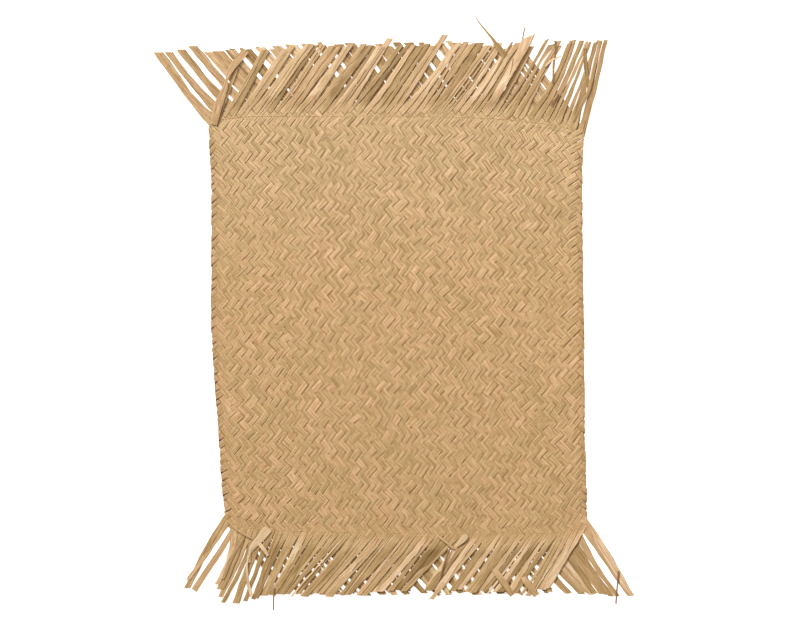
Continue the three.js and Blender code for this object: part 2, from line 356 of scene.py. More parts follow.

# %% [markdown]
# ## The leaf
# A dried leaf strip is tan, but no two are alike: some lean to pink, some to olive, some are pale. Fine
# fibres run along each one, the cut edges are browner, and a few strips are creased lengthwise. Painted
# light and shade go on top: a highlight on one edge, shadow on the other, shade in a crease. All of that
# follows the strip, so the finish reads marks that the strip carries. Sums are written as Python expressions:
# a value wraps a socket, and each operator adds a Math node.


# %% A value that adds nodes as it is used
class Value:
    """One output socket of a material, so that shader maths reads as Python."""

    def __init__(self, tree, socket):
        self.tree, self.socket = tree, socket

    def node(self, kind, settings, sockets, out):
        """Adds a node: its type, settings, socket values or links, and the output wanted."""
        node = self.tree.nodes.new(kind)
        for name, setting in settings.items():
            if name == "stops":
                for number, (place, colour) in enumerate(setting):
                    ramp = node.color_ramp.elements
                    stop = ramp[number] if number < 2 else ramp.new(place)
                    stop.position, stop.color = place, colour
            else:
                setattr(node, name, setting)
        for socket in node.inputs:
            given = sockets.get(socket.identifier)
            if isinstance(given, Value):
                self.tree.links.new(given.socket, socket)
            elif given is not None:
                socket.default_value = given
        found = next(socket for socket in node.outputs if socket.identifier == out)
        return Value(self.tree, found)

    def math(self, operation, *terms):
        names = ("Value", "Value_001", "Value_002")
        return self.node("ShaderNodeMath", {"operation": operation}, dict(zip(names, terms)), "Value")

    def __add__(self, other):
        return self.math("ADD", self, other)

    def __radd__(self, other):
        return self.math("ADD", other, self)

    def __sub__(self, other):
        return self.math("SUBTRACT", self, other)

    def __rsub__(self, other):
        return self.math("SUBTRACT", other, self)

    def __mul__(self, other):
        return self.math("MULTIPLY", self, other)

    def __rmul__(self, other):
        return self.math("MULTIPLY", other, self)

    def __pow__(self, other):
        return self.math("POWER", self, other)

    def __abs__(self):
        return self.math("ABSOLUTE", self)

    def __mod__(self, other):
        return self.math("FLOORED_MODULO", self, other)

    def between(self, low, high):
        """0 below low, 1 above high, and smooth between them."""
        ends = {"Value": self, "From Min": low, "From Max": high}
        return self.node("ShaderNodeMapRange", {"interpolation_type": "SMOOTHSTEP"}, ends, "Result")

    def noise(self, x, y, z, detail):
        """Noise from 0 to 1 at a point given by three values."""
        point = self.node("ShaderNodeCombineXYZ", {}, {"X": x, "Y": y, "Z": z}, "Vector")
        sockets = {"Vector": point, "Scale": 1.0, "Detail": detail, "Roughness": 0.6}
        return self.node("ShaderNodeTexNoise", {"noise_dimensions": "3D"}, sockets, "Fac")

    def speckle(self, scale, detail):
        """Noise from 0 to 1 at the place that this value gives."""
        return self.node("ShaderNodeTexNoise", {}, {"Vector": self, "Scale": scale, "Detail": detail}, "Fac")

    def parts(self):
        """The three parts of a vector, each as a value."""
        return [self.node("ShaderNodeSeparateXYZ", {}, {"Vector": self}, part) for part in "XYZ"]

    def marks(self, title):
        """The three numbers that a strip's points carry under a title."""
        return self.node("ShaderNodeAttribute", {"attribute_name": title}, {}, "Vector").parts()

    def ramp(self, stops):
        """The colour that a row of stops has at this value."""
        return self.node("ShaderNodeValToRGB", {"stops": stops}, {"Fac": self}, "Color")

    def mix(self, blend, share, one, other):
        """Two colours mixed."""
        settings = {"data_type": "RGBA", "blend_type": blend}
        sockets = {"Factor_Float": share, "A_Color": one, "B_Color": other}
        return self.node("ShaderNodeMix", settings, sockets, "Result_Color")


print("methods of a value:", len(vars(Value)))


# %% Colours of the leaf
def colour(red, green, blue):
    """A colour as a screen shows it, from 0 to 255, as the linear one that a shader takes."""
    parts = [part / 255 for part in (red, green, blue)]
    linear = [part / 12.92 if part < 0.04045 else ((part + 0.055) / 1.055) ** 2.4 for part in parts]
    return (*linear, 1.0)


PLAITED_TONES = [
    (0.0, colour(177, 148, 98)),
    (0.3, colour(190, 157, 109)),
    (0.5, colour(197, 161, 114)),
    (0.7, colour(204, 164, 120)),
    (1.0, colour(217, 181, 136)),
]
LOOSE_TONES = [
    (0.0, colour(148, 117, 72)),
    (0.3, colour(178, 146, 99)),
    (0.5, colour(194, 160, 115)),
    (0.7, colour(204, 168, 127)),
    (1.0, colour(230, 205, 166)),
]
# Where the light is lower, green and blue fall faster than red: painted shade is warmer, as is darker fibre.
GREEN_FALL, BLUE_FALL = 1.25, 1.75
STAIN = colour(178, 118, 76)
# Painted shade on the fold at the selvedge.
FOLD_SHADE = colour(150, 104, 66)
# Painted shadow along a strip's lower edge, over a cut edge that is a little browner.
SHADOW_ON_CUT_EDGE = colour(84, 50, 20)
# A painted highlight on the upper edge, where the lamp catches it.
LIT_EDGE = colour(230, 196, 150)
print("a stain is", [round(part, 3) for part in STAIN])

# %% [markdown]
# ## The leaf's values
# The finish is worked out from a few values. Some follow the strip: fibres and finer threads run along it,
# and its tone drifts. Others follow the mat: worn regions, spots and grain, and the top end, which gets more
# light, so there the plait is painted paler and its streaks and painted edge lines are crisper.

# %% Values of a strip
FIBRES = {"along": 0.035, "across": 2.2, "own": 70, "depth": 90, "detail": 2.0}
THREADS = {"along": 0.08, "across": 3.5, "own": 40, "depth": 50, "detail": 1.0}
STREAK_ENDS = 0.3, 0.7
FIBRE_CONTRAST = 0.6
DRIFT_ALONG, DRIFT_OWN, DRIFT_ACROSS = 0.04, 300, 0.25
RAGGED_ALONG, RAGGED_OWN, RAGGED_DEPTH = 0.11, 210, 3.0
REGION_SCALE, SPOT_SCALE, GRAIN_SCALE = 38.0, 95.0, 950.0
TOP_END_AT = 0.16
CRISPER = 0.3


class Leaf:
    """The values that a strip's finish is worked out from, at every point of the strip."""

    def __init__(self, base):
        self.base = base
        self.run, self.across, self.seed = base.marks("strip")
        # The middle lie number is how much painted shade a point gets.
        self.loose, self.dive, self.fold = base.marks("lie")
        self.fibres = 0.5 + (self.streaks(FIBRES) - 0.5) * FIBRE_CONTRAST
        self.threads = self.streaks(THREADS)
        drift = self.run * DRIFT_ALONG, self.seed * DRIFT_OWN, self.across * DRIFT_ACROSS
        self.drift = base.noise(*drift, 2.0)
        self.ragged = base.noise(self.run * RAGGED_ALONG, self.seed * RAGGED_OWN, RAGGED_DEPTH, 1.0)
        place = base.node("ShaderNodeTexCoord", {}, {}, "Object")
        self.region = place.speckle(REGION_SCALE, 2.0)
        self.spots = place.speckle(SPOT_SCALE, 1.0)
        self.grain = place.speckle(GRAIN_SCALE, 0.0)
        # Nearness to the top end, which gets more light: there the plait is painted paler and the painted lines
        # crisper.
        self.upper = place.parts()[1].between(0.0, TOP_END_AT)
        self.crisp = 1 + self.upper * CRISPER

    def streaks(self, kind):
        """Streaks that run along the strip, different on every strip."""
        beside = self.across * kind["across"] + self.seed * kind["own"]
        noise = self.base.noise(self.run * kind["along"], beside, self.seed * kind["depth"], kind["detail"])
        return noise.between(*STREAK_ENDS)

    def own(self, turn):
        """One more number of the strip's own, from 0 to 1."""
        return self.seed * turn % 1


print("fibres change every", round(1 / FIBRES["along"]), "mm along a strip")

# %% [markdown]
# ## Tone, light and edges
# A strip's tone is its own, with slow changes and a few brown stains. Its light and shade are painted: shade
# falls at the edges and along a crease. Where it is darker, by its own fibres or by painted shade, it is also
# warmer, so green and blue fall faster than red. The painted lines that make a plait easy to read come last:
# a painted highlight on the upper edge, a painted shadow over the browner cut edge below, and painted shade
# on the fold at the sides.

# %% Tone of a strip
OWN_TONE = 7.31


def leaf_tone(leaf):
    """A strip's colour before light and shade."""
    steady = 0.6 - leaf.loose * 0.3
    tone = 0.5 + (leaf.own(OWN_TONE) - 0.5) * (0.4 + leaf.loose * 0.46)
    tone = tone + (leaf.drift - 0.5) * steady + (leaf.region - 0.5) * steady
    tone = tone + (leaf.fibres - 0.5) * 0.25
    bare = leaf.base.mix("MIX", leaf.loose, tone.ramp(PLAITED_TONES), tone.ramp(LOOSE_TONES))
    return leaf.base.mix("MIX", leaf.spots.between(0.7, 0.8) * 0.45, bare, STAIN)


print("tones in the plait and loose:", len(PLAITED_TONES), len(LOOSE_TONES))

# %% Light and shade of a strip
OWN_LIGHT = 3.77
OWN_CREASE = 5.13
OWN_CREASE_PLACE = 13.7


def leaf_crease(leaf):
    """1 along the crease of a strip that has one."""
    crease_at = (leaf.own(OWN_CREASE_PLACE) - 0.5) * 1.3
    creased = leaf.own(OWN_CREASE).between(0.4, 0.55)
    return (1 - abs(leaf.across - crease_at).between(0.03, 0.2)) * creased


def leaf_light(leaf, crease):
    """How light a strip is, about 1: its own fibres, threads and grain, darker at the edges as painted shade
    and browner leaf, painted shade along a crease, and painted light on the loose strips.
    """
    loose = leaf.loose
    edge = abs(leaf.across).between(0.86, 1.0)
    light = 0.97 + (leaf.own(OWN_LIGHT) - 0.5) * (0.06 + loose * 0.22)
    light = light + (leaf.fibres - 0.5) * (0.1 + loose * 0.2)
    light = light + (leaf.threads - 0.5) * (0.34 - loose * 0.12) * leaf.crisp
    light = light + (leaf.grain - 0.5) * (0.34 - loose * 0.1)
    # Painted shade at the edges and along a crease, and painted light on the loose strips: lighter at the
    # bottom end, darker at the top end.
    return light - edge * 0.1 - crease * 0.14 + loose * (0.03 - leaf.upper * 0.08)


def shaded(leaf, tone, light):
    """A tone in that light. The plait is painted a little paler towards the top end, as painted light."""
    painted_top_light = leaf.upper * (1 - leaf.loose)
    parts = {"Red": light, "Green": light**GREEN_FALL + painted_top_light * 0.05, "Blue": light**BLUE_FALL + painted_top_light * 0.1}
    shade = leaf.base.node("ShaderNodeCombineColor", {}, parts, "Color")
    return leaf.base.mix("MULTIPLY", 1.0, tone, shade)


print("green and blue fall by powers of", GREEN_FALL, BLUE_FALL)


# %% Edges of a strip
def edged(leaf, tinted, cut, side):
    """A painted highlight along a strip's upper edge, a painted shadow along its lower edge over the browner
    cut edge, and painted shade on the fold.
    """
    base, loose, ragged = leaf.base, leaf.loose, leaf.ragged
    line = ragged.between(0.42 - leaf.upper * 0.06, 0.52) * (1.3 - loose * 0.4)
    # More painted shade where a strip comes up from under another.
    line = line + leaf.dive * ragged.between(0.36, 0.5) * 0.8
    line = line * (0.45 + leaf.region.between(0.35, 0.6) * 0.65)
    # Painted shadow along the lower edge, reaching a little further in at the fold.
    painted_shadow = (leaf.across * side + leaf.fold * 0.25).between(0.8, 0.86) * line * leaf.crisp * cut
    # Painted highlight along the upper edge.
    painted_highlight = (leaf.across * side * -1).between(0.78, 0.86) * ragged.between(0.36, 0.56)
    painted_highlight = painted_highlight * (0.65 - loose * 0.25) * leaf.crisp
    tinted = base.mix("MIX", painted_highlight, tinted, LIT_EDGE)
    # Painted shade on the fold at the selvedge.
    tinted = base.mix("MIX", leaf.fold * 0.35, tinted, FOLD_SHADE)
    return base.mix("MIX", painted_shadow, tinted, SHADOW_ON_CUT_EDGE)


print("cut edges are", [round(part, 3) for part in SHADOW_ON_CUT_EDGE])

# %% The leaf's finish
RELIEF = 0.2
RELIEF_STRENGTH = 0.45
ROUGH = 0.52
SHEEN = 0.3


def plain_material(name, settings):
    """A material whose shader has these settings all over."""
    material = bpy.data.materials.new(name)
    material.use_nodes = True
    for title, setting in settings.items():
        material.node_tree.nodes["Principled BSDF"].inputs[title].default_value = setting
    return material


def leaf_finish(name, cut, side):
    """A leaf strip's material. Cut is how dark the painted shadow along its lower edge is, on one side."""
    material = plain_material(name, {"Specular IOR Level": SHEEN})
    tree = material.node_tree
    shader = tree.nodes["Principled BSDF"]
    leaf = Leaf(Value(tree, None))
    crease = leaf_crease(leaf)
    tinted = edged(leaf, shaded(leaf, leaf_tone(leaf), leaf_light(leaf, crease)), cut, side)
    height = leaf.threads * 0.5 + leaf.fibres * 0.8 - crease * 0.8
    relief = {"Strength": RELIEF_STRENGTH, "Distance": RELIEF * MM, "Height": height}
    bump = leaf.base.node("ShaderNodeBump", {}, relief, "Normal")
    rough = ROUGH + (leaf.threads - 0.5) * 0.3
    tree.links.new(tinted.socket, shader.inputs["Base Color"])
    tree.links.new(rough.socket, shader.inputs["Roughness"])
    tree.links.new(bump.socket, shader.inputs["Normal"])
    return material


# Each leaf gets its painted shadow line on one edge, darkest on the rising strips.
rising_leaf = leaf_finish("rising leaf", 1.0, 1)
falling_leaf = leaf_finish("falling leaf", 0.45, -1)
loose_leaf = leaf_finish("loose leaf", 0.75, 1)
print("leaf finish has", len(loose_leaf.node_tree.nodes), "nodes")

# %% [markdown]
# ## The plaited strips
# A strip's middle is lifted where it lies over and lowered where it lies under, with an easy slope between,
# just wide enough for the strip that crosses there. Its two edges come from a list of boundaries that is a
# little uneven, so a wide strip makes its neighbours narrow and no two strips run into each other. At the
# sides each strip is cut along the fold and bent down to the middle of the mat, where its other half meets
# it.

# %% Measures of a strip in the plait
MIDDLE = 0.5
LIFT = 0.13
THICKNESS = 0.18
DROOP = 0.02
WIDTH_JITTER = 0.62
SLOPE = 0.15
STEP = 4.8
NOSE = 0.5
NOTCH = 0.42
DIVE_REACH = 0.5
FOLD_REACH = 1.5
END_STEPS = np.array([0, 0.08, 0.25])
RISING = {"seed": 71, "first": -50, "last": 51, "inset": 0.16, "tilt": 0.08, "tilt_spread": 0.03}
FALLING = {"seed": 83, "first": 0, "last": 101, "inset": 0.0, "tilt": -0.02, "tilt_spread": 0.03}
SPLIT = SHEET_START * (TOP_ROW - BOTTOM_ROW)
SHEET_ROWS = BOTTOM_ROW + SPLIT, TOP_ROW - SPLIT
print("the sheet's rows run from", round(SHEET_ROWS[0], 2), "to", round(SHEET_ROWS[1], 2))


# %% Widths of the strips
def boundaries(lean):
    """Where each strip of one lean ends and the next begins, counted in strips."""
    number = np.arange(lean["first"] - 1, lean["last"] + 1)
    return number + 0.5 + offset(lean["seed"], number, "width", WIDTH_JITTER)


RISING["edges"] = boundaries(RISING)
FALLING["edges"] = boundaries(FALLING)


def strip_seed(lean, number):
    """The strip's own number, the same in the plait and in the fringe."""
    return uneven(lean["seed"], number, "tone")


def strip_lanes(lean, number, section):
    """Where the points of a strip's section lie, counted in strips. The gaps beside it are uneven."""
    low, high = lean["edges"][number - lean["first"] :][:2]
    high = high - lean["inset"] * uneven(lean["seed"], number, "reach") ** 2
    return (low + high) / 2 + section["across"] * (high - low) / 2


print("narrowest and widest strip:", *np.round(np.sort(np.diff(RISING["edges"]))[[0, -1]], 2), "of a pitch")


# %% Over and under along a strip
def crossings(lean, number):
    """The edges of the strips that a strip crosses, and 1 where it lies over or -1 under each."""
    other = FALLING if lean is RISING else RISING
    crossing = np.arange(other["first"], other["last"] + 1)
    over = rising_over(number, crossing) if lean is RISING else ~rising_over(crossing, number)
    return other["edges"], np.where(over, 1.0, -1.0)


def strip_heights(lean, number, at):
    """The height of a strip's middle about the middle of the mat, from -1 to 1."""
    edges, state = crossings(lean, number)
    step = eased(np.clip((at[..., None] - edges[1:-1]) / (2 * SLOPE) + 0.5, 0, 1))
    return state[0] + (step * np.diff(state)).sum(-1)


def strip_stations(lean, number, low, high):
    """Places along a strip that need a section: crossings' middles and changes of level."""
    edges, state = crossings(lean, number)
    changes = edges[1:-1][np.diff(state) != 0]
    level = edges[1:-1][np.diff(state) == 0]
    middles = (edges[:-1] + edges[1:]) / 2
    near = SLOPE * 0.8
    stations = np.sort(np.concatenate([changes - near, changes, changes + near, level, middles]))
    return stations[(stations > low) & (stations < high)]


print("sections in ten crossings:", len(strip_stations(RISING, 0, 40, 50)))


# %% Where a strip ends and how it tilts
def lane_ends(lean, number, lanes, section, row_low, row_high):
    """Where each lane of a strip starts and ends between two rows and the two sides, along the strip."""
    notch = NOTCH * section["across"] ** 2
    low = notch * 2 * uneven(lean["seed"], number, "trim") - lanes
    high = COLUMNS - notch * 2 * uneven(lean["seed"], number, "bow") - lanes
    if lean is RISING:
        return np.maximum(low, row_low + lanes), np.minimum(high, row_high + lanes)
    return np.maximum(low, lanes - row_high), np.minimum(high, lanes - row_low)


def strip_tilt(lean, number, at):
    """How much higher a strip's right edge is than its left, along the strip."""
    turn = math.tau * uneven(lean["seed"], number, "roll")
    waves = np.sin(1.7 * at + turn) + 0.8 * np.sin(0.61 * at + 3 * turn)
    return lean["tilt"] + lean["tilt_spread"] * waves


print("tilt:", RISING["tilt"], "mm for a rising strip,", FALLING["tilt"], "mm for a falling one")


# %% One strip of the plait
def plaited_points(lean, number, at, lanes, section):
    """Points of a strip in the plait, from places along it, by sections and lanes."""
    column = at + lanes
    row = at - lanes if lean is RISING else lanes - at
    x, y = mat_point(column, row)
    inside = np.clip(np.minimum(column, COLUMNS - column) / NOSE, 0, 1)
    nose = np.sqrt(1 - (1 - inside) ** 2)
    height = strip_heights(lean, number, at) * nose
    across = section["across"]
    thick = section["lift"] * THICKNESS / 2 - DROOP * across * across * np.sign(height)
    thick = thick + strip_tilt(lean, number, at) * across
    return np.stack([x, y, MIDDLE + LIFT * height + thick * (0.4 + 0.6 * nose)], -1)


def plaited_strip(lean, number, row_low, row_high):
    """One strip between two rows of the plait: its points and marks, or None where it has no length."""
    section = FLAT
    lanes = strip_lanes(lean, number, section)
    low, high = lane_ends(lean, number, lanes, section, row_low, row_high)
    if (high - low).min() < 2 * END_STEPS[-1]:
        return None
    inner_low, inner_high = low + END_STEPS[-1], high - END_STEPS[-1]
    stations = strip_stations(lean, number, inner_low.min(), inner_high.max())
    inner = np.clip(stations[:, None], inner_low, inner_high)
    at = np.concatenate([low + END_STEPS[:, None], inner, high - END_STEPS[::-1, None]])
    column = at + lanes
    from_side = np.minimum(column, COLUMNS - column)
    # Painted shade where a strip comes up from under another, and at the fold of the selvedge.
    back = DIVE_REACH if lean is RISING else -DIVE_REACH
    comes_up = np.clip(0.5 - strip_heights(lean, number, at - back) / 2, 0, 1)
    dive = comes_up * np.clip(strip_heights(lean, number, at), 0, 1)
    fold = np.clip(1 - from_side / FOLD_REACH, 0, 1)
    points = plaited_points(lean, number, at, lanes, section)
    return points, at * STEP, strip_seed(lean, number), 0.0, np.maximum(dive, fold), fold


print("sections of the first rising strip:", len(plaited_strip(RISING, 0, *SHEET_ROWS)[0]))


# %% Both leans, plaited
def plait(lean, name, finish):
    """All the strips of one lean in the sheet."""
    ribbons = Ribbons(FLAT)
    for number in range(lean["first"], lean["last"] + 1):
        strip = plaited_strip(lean, number, *SHEET_ROWS)
        if strip is not None:
            ribbons.add(*strip)
    piece = ribbon_object(ribbons, name, finish)
    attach(piece, "root")
    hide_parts("plaited_sheet")
    print(name, len(ribbons.faces), "strips,", triangles(piece), "triangles")
    return piece


rising_strips = plait(RISING, "rising_strips", rising_leaf)
falling_strips = plait(FALLING, "falling_strips", falling_leaf)

# %% [markdown]
# ## The fringe
# At each end the strips leave the last plaited row and lie loose. Those that rise to the right lie in front,
# each a little over the next like shingles. The others lie behind and cling in pairs. The solids were drawn
# from tables of lean and reach, so the same tables place the tips here. Each of the four rows of loose strips
# goes by a number of its own: 11 and 23 are the front and back at the top, 37 and 53 at the bottom.

# %% Tables of lean and reach
STRIPS_PER_END = 52
STRAND_WIDTH = 4.9
WIDTH_SPREAD = 1.6
TIP_WIDTH_SHARE = 0.86
LEAN_SPREAD = 4
REACH_SPREAD = 3.5
BOW_SPREAD = 2.4
TRIM_SLANT = 1.6
LEAST_CLING = 0.6
LEAST_GAP = 0.5
TOP_FRONT = {
    "across": (0, 0.04, 0.1, 0.4, 0.7, 0.82, 0.93, 0.96, 0.98, 1),
    "lean": (66, 59, 53, 54, 55, 60, 61, 66, 72, 77),
    "reach": (59, 56, 57, 59, 61, 65, 70, 72, 76, 80),
}
TOP_BACK = {
    "across": (0, 0.05, 0.12, 0.2, 0.4, 0.65, 1),
    "lean": (52, 48, 47, 48.5, 52, 53, 51),
    "reach": (57, 56, 57, 55, 58, 60, 66),
}
BOTTOM_FRONT = {
    "across": (0, 0.04, 0.06, 0.1, 0.12, 0.15, 0.2, 0.3, 0.5, 0.65, 0.8, 1),
    "lean": (61, 56, 64, 62, 67, 66, 61, 49, 49, 50, 52, 57),
    "reach": (60, 56, 50, 61, 62, 59, 55, 53, 53, 48, 49, 55),
}
BOTTOM_BACK = {
    "across": (0, 0.3, 0.65, 0.83, 0.91, 0.96, 1),
    "lean": (50, 49, 51, 47, 52.5, 56.5, 56),
    "reach": (56, 53, 51, 52, 54, 57, 61),
}
STRAND_ROWS = [
    {"end": "top", "front": True, "run": TOP_FRONT, "pairing": 0.4, "seed": 11, "outer": "right"},
    {"end": "top", "front": False, "run": TOP_BACK, "pairing": 0.95, "seed": 23, "outer": "left"},
    {"end": "bottom", "front": True, "run": BOTTOM_FRONT, "pairing": 0.4, "seed": 37, "outer": "left"},
    {"end": "bottom", "front": False, "run": BOTTOM_BACK, "pairing": 0.95, "seed": 53, "outer": "right"},
]
print("rows of loose strips:", [row["seed"] for row in STRAND_ROWS])

# %% Strips that stand out in the solids
ODD_COLUMNS = ("seed", "strip", "lean", "reach", "width", "bow")
ODD_STRIPS = [
    (11, 18, 56, 64, 5.2, 0),
    (11, 25, 56, 67, 5.6, 1),
    (11, 37, 57, 71, 6.2, 0),
    (11, 51, 77.5, 80, 4, 0),
    (37, 0, 62.5, 60, 4.2, 0),
    (37, 5, 62, 64, 3.2, 2),
    (37, 37, 49, 56, 4, 0),
    (53, 51, 56.5, 61, 6, 2.5),
]


def table_row(columns, rows, seed, strip):
    """The row of a table for one strip, by the names of its columns, or None."""
    found = [row for row in rows if row[:2] == (seed, strip)]
    return dict(zip(columns, found[0])) if found else None


print("strips that stand out:", len(ODD_STRIPS))


# %% Roots and tips
def strand_of(row, strip):
    """Root, tip and widths of one strand in a row of loose strips."""
    seed, table = row["seed"], row["run"]
    up = 1 if row["end"] == "top" else -1
    across = strip / (STRIPS_PER_END - 1)
    odd = table_row(ODD_COLUMNS, ODD_STRIPS, seed, strip)
    strand = {
        "strip": strip,
        "odd": odd,
        "root": np.array(sheet_point(across, 0 if up == 1 else 1), float),
        "lean": along(table, "across", "lean", across) + offset(seed, strip, "lean", LEAN_SPREAD),
        "reach": along(table, "across", "reach", across) + offset(seed, strip, "reach", REACH_SPREAD),
        "width": STRAND_WIDTH + offset(seed, strip, "width", WIDTH_SPREAD),
        "bow": offset(seed, strip, "bow", BOW_SPREAD),
        "trim": offset(seed, strip, "trim", TRIM_SLANT),
        "level": (2 if row["front"] else 0) + strip % 2,
    }
    strand.update(odd or {})
    slant = (up if row["front"] else -up) / math.tan(math.radians(strand["lean"]))
    strand["tip"] = strand["root"] + np.array([strand["reach"] * slant, up * strand["reach"]])
    return strand


def draw_pairs(strands, row):
    """Two neighbours lean towards each other, as loose strips cling in pairs. An odd strip stays by itself."""
    for one, other in zip(strands[::2], strands[1::2]):
        cling = LEAST_CLING + (1 - LEAST_CLING) * uneven(row["seed"], one["strip"], "pairing")
        pull = 0 if one["odd"] or other["odd"] else row["pairing"] * cling / 2
        apart = other["tip"][0] - one["tip"][0]
        one["tip"][0] += pull * apart
        other["tip"][0] -= pull * apart


def across_width(strand):
    """A slanted strand's width, measured along the mat's end."""
    run = strand["tip"] - strand["root"]
    return strand["width"] * np.hypot(*run) / abs(run[1])


def keep_apart(strands):
    """Tips on one level stay apart. Going inwards, each stays clear of the one before it on its level."""
    inwards = np.sign(strands[-1]["root"][0] - strands[0]["root"][0])
    for before, strand in zip(strands, strands[2:]):
        clear = (across_width(before) + across_width(strand)) / 2 + LEAST_GAP
        passed = (strand["tip"][0] - before["tip"][0]) * inwards
        kept = 0 if strand["odd"] else max(0, clear - passed)
        strand["tip"][0] += kept * inwards


def strands_of(row):
    """Every strand in one row of loose strips."""
    strands = [strand_of(row, strip) for strip in range(STRIPS_PER_END)]
    draw_pairs(strands, row)
    keep_apart(strands if row["outer"] == "left" else strands[::-1])
    return strands


print("first tip at the top:", *np.round(strands_of(STRAND_ROWS[0])[0]["tip"], 1), "mm")

# %% [markdown]
# ## Widths and gaps of the loose strips
# Loose strips dry and shrink unevenly, so some lie close and others leave open lines where the ground shows.
# Short tables say how full each row is across the mat and where its open lines are. The strips that stand out
# most are placed one by one: given a tone, made wider, moved, bowed, cut on a slant, tapered or lifted.

# %% Fullness and open lines
FULLNESS_SPREAD = 0.25
FULL, BESIDE_GAP = 1.42, 1.02
GAP_REACH = 1.2
FULLNESS = {
    11: {"across": (0, 0.1, 0.2, 0.65, 0.75, 0.82, 1), "full": (0.72, 0.84, 1, 1, 0.9, 0.8, 0.7)},
    23: {"across": (0, 0.1, 0.16, 0.22, 0.35, 0.8, 1), "full": (0.72, 0.72, 0.92, 1.15, 1.12, 1.02, 0.85)},
    37: {"across": (0, 0.08, 0.16, 0.22, 0.8, 1), "full": (0.7, 0.75, 0.85, 1, 1, 0.9)},
    53: {"across": (0, 0.2, 0.8, 0.9, 1), "full": (0.68, 0.76, 0.76, 0.7, 0.7)},
}
GAPS = {
    11: {1.5: 0.3, 3.5: 0.3, 5.5: 0.3, 8.5: 0.2, 13.5: 0.8, 18.5: 0.8, 20.5: 0.6, 23.5: 0.3}
    | {25.5: 0.6, 27.5: 0.5, 31.5: 0.5, 33.5: 0.3},
    23: {},
    37: {7.5: 1, 11.5: 0.4, 16.5: 1, 18.5: 1.3, 23.5: 0.4, 26.5: 1, 27.5: 0.8, 30.5: 1.4}
    | {33.5: 5, 37.5: 0.9, 39.5: 0.7, 43.5: 1.3, 46.5: 1},
    53: {},
}


def strip_fullness(row, strip):
    """How much wider or narrower a loose strip is than its solid."""
    full = along(FULLNESS[row["seed"]], "across", "full", strip / (STRIPS_PER_END - 1))
    beside = any(abs(strip - gap) == 0.5 for gap in GAPS[row["seed"]])
    return full * (BESIDE_GAP if beside else FULL) * (1 + offset(row["seed"], strip, "none", FULLNESS_SPREAD))


def gap_push(row, strip):
    """How far the open lines push a strip's tip to one side, in millimetres."""
    away = [(strip - gap, push) for gap, push in GAPS[row["seed"]].items()]
    return sum(math.copysign(push * math.exp((0.5 - abs(step)) / GAP_REACH), step) for step, push in away)


print("open lines:", sum(len(lines) for lines in GAPS.values()))

# %% Strips placed one by one
DARK, BROWN, DIM, MID, TAN, LIGHT = 0.848, 0.866, 0.62, 0.615, 0.631, 0.653
PALE, BRIGHT, DULL = 0.677, 0.244, 0.0137
PLAIN = {"tone": 0, "wider": 1, "shift_x": 0, "shift_y": 0, "bow": 0, "trim": 0, "tip": 1, "lift": 0}
CHANGED_COLUMNS = ("seed", "strip", *PLAIN)
CHANGED_STRIPS = [
    (23, 0, 0, 1.5, 0, 1.5),
    (23, 1, TAN, 1.1, -2.6, -1, -2.5),
    (23, 2, BROWN, 1.3, 1),
    (23, 3, TAN, 1.1, 0, -2.6, -2.5),
    (23, 4, 0, 1.2),
    (23, 5, 0, 1, -3.5, -1, -2.5),
    (23, 6, LIGHT, 1.4, 0, 2.6),
    (23, 7, TAN, 1, -2.6, 1, -2.5),
    (23, 8, 0, 1.3, -3.5, -2.6),
    (23, 9, TAN, 1.3, 3, -2.6),
    (11, 1, MID, 0.9, -5, -3),
    (11, 3, 0, 1, -5, -1),
    (11, 4, 0, 1.2, -3),
    (11, 37, BRIGHT, 1.2, -5.5, -3.5, 1, -5.2, 1.2, 2.2),
    (11, 38, MID, 0.9, -6, -3),
    (11, 39, DARK, 0.75, 3.5, 3.5, 1.5, -2),
    (11, 40, BROWN, 0.9, 0, -1.5, 0, -1),
    (11, 41, MID, 1.1, 3.5, 1.5, 0, -1),
    (11, 42, TAN, 0.8, -4, -2, -2),
    (11, 43, BROWN, 0.9, 1, 0, 3, -1),
    (11, 44, MID, 1, -3.5, 0, 3, -1),
    (11, 45, BROWN, 0.85, -1, 0, 1),
    (11, 46, MID, 0.6, -4.5, 1),
    (11, 47, DARK, 0.5, -1, 0, 0, 0, 1, 0.3),
    (11, 48, BROWN, 0.55, -1),
    (11, 49, DARK, 0.6, -3, 0.5, 0, 0, 1, 0.4),
    (11, 50, BROWN, 0.75, -4, 0, 0.5),
    (11, 51, BROWN, 1.15, 0, 0, -0.5, 0, 1, 0.3),
    (37, 0, BROWN, 1.4, -1, 0, -0.5, 0, 0.9),
    (37, 1, TAN, 0.8, -2.5, 9, 0.5),
    (37, 2, LIGHT, 0.8, 18, 5, 4),
    (37, 3, BROWN, 1.8, 6, -4, 2),
    (37, 4, MID, 1.3, -1, -3, 1, 0, 0.7),
    (37, 5, DARK, 1.1, 2.5, 1, 2.5),
    (37, 6, BROWN, 1, 0.5),
    (37, 7, 0, 0.9, 3, 1),
    (37, 13, BROWN),
    (53, 51, BRIGHT, 1.5, -2.5, 0, -0.8, 0, 0.55),
    (53, 50, TAN, 1.3, 4, 0, -0.5, 0, 0.7),
    (53, 49, MID, 1.2, 1.5, 0, -2.5, 0, 0.9),
    (53, 48, BROWN, 1.2, -3, 0, -2),
    (53, 47, BROWN, 1.3, 4),
    (53, 46, 0, 1.2, 2),
]


def strip_change(row, strand):
    """What sets a loose strip apart: a row of the table, or the bow and trim of its own."""
    listed = table_row(CHANGED_COLUMNS, CHANGED_STRIPS, row["seed"], strand["strip"])
    own = {"bow": strand["bow"], "trim": strand["trim"]}
    return PLAIN | {"listed": bool(listed)} | (listed or own)


print("strips placed one by one:", len(CHANGED_STRIPS))

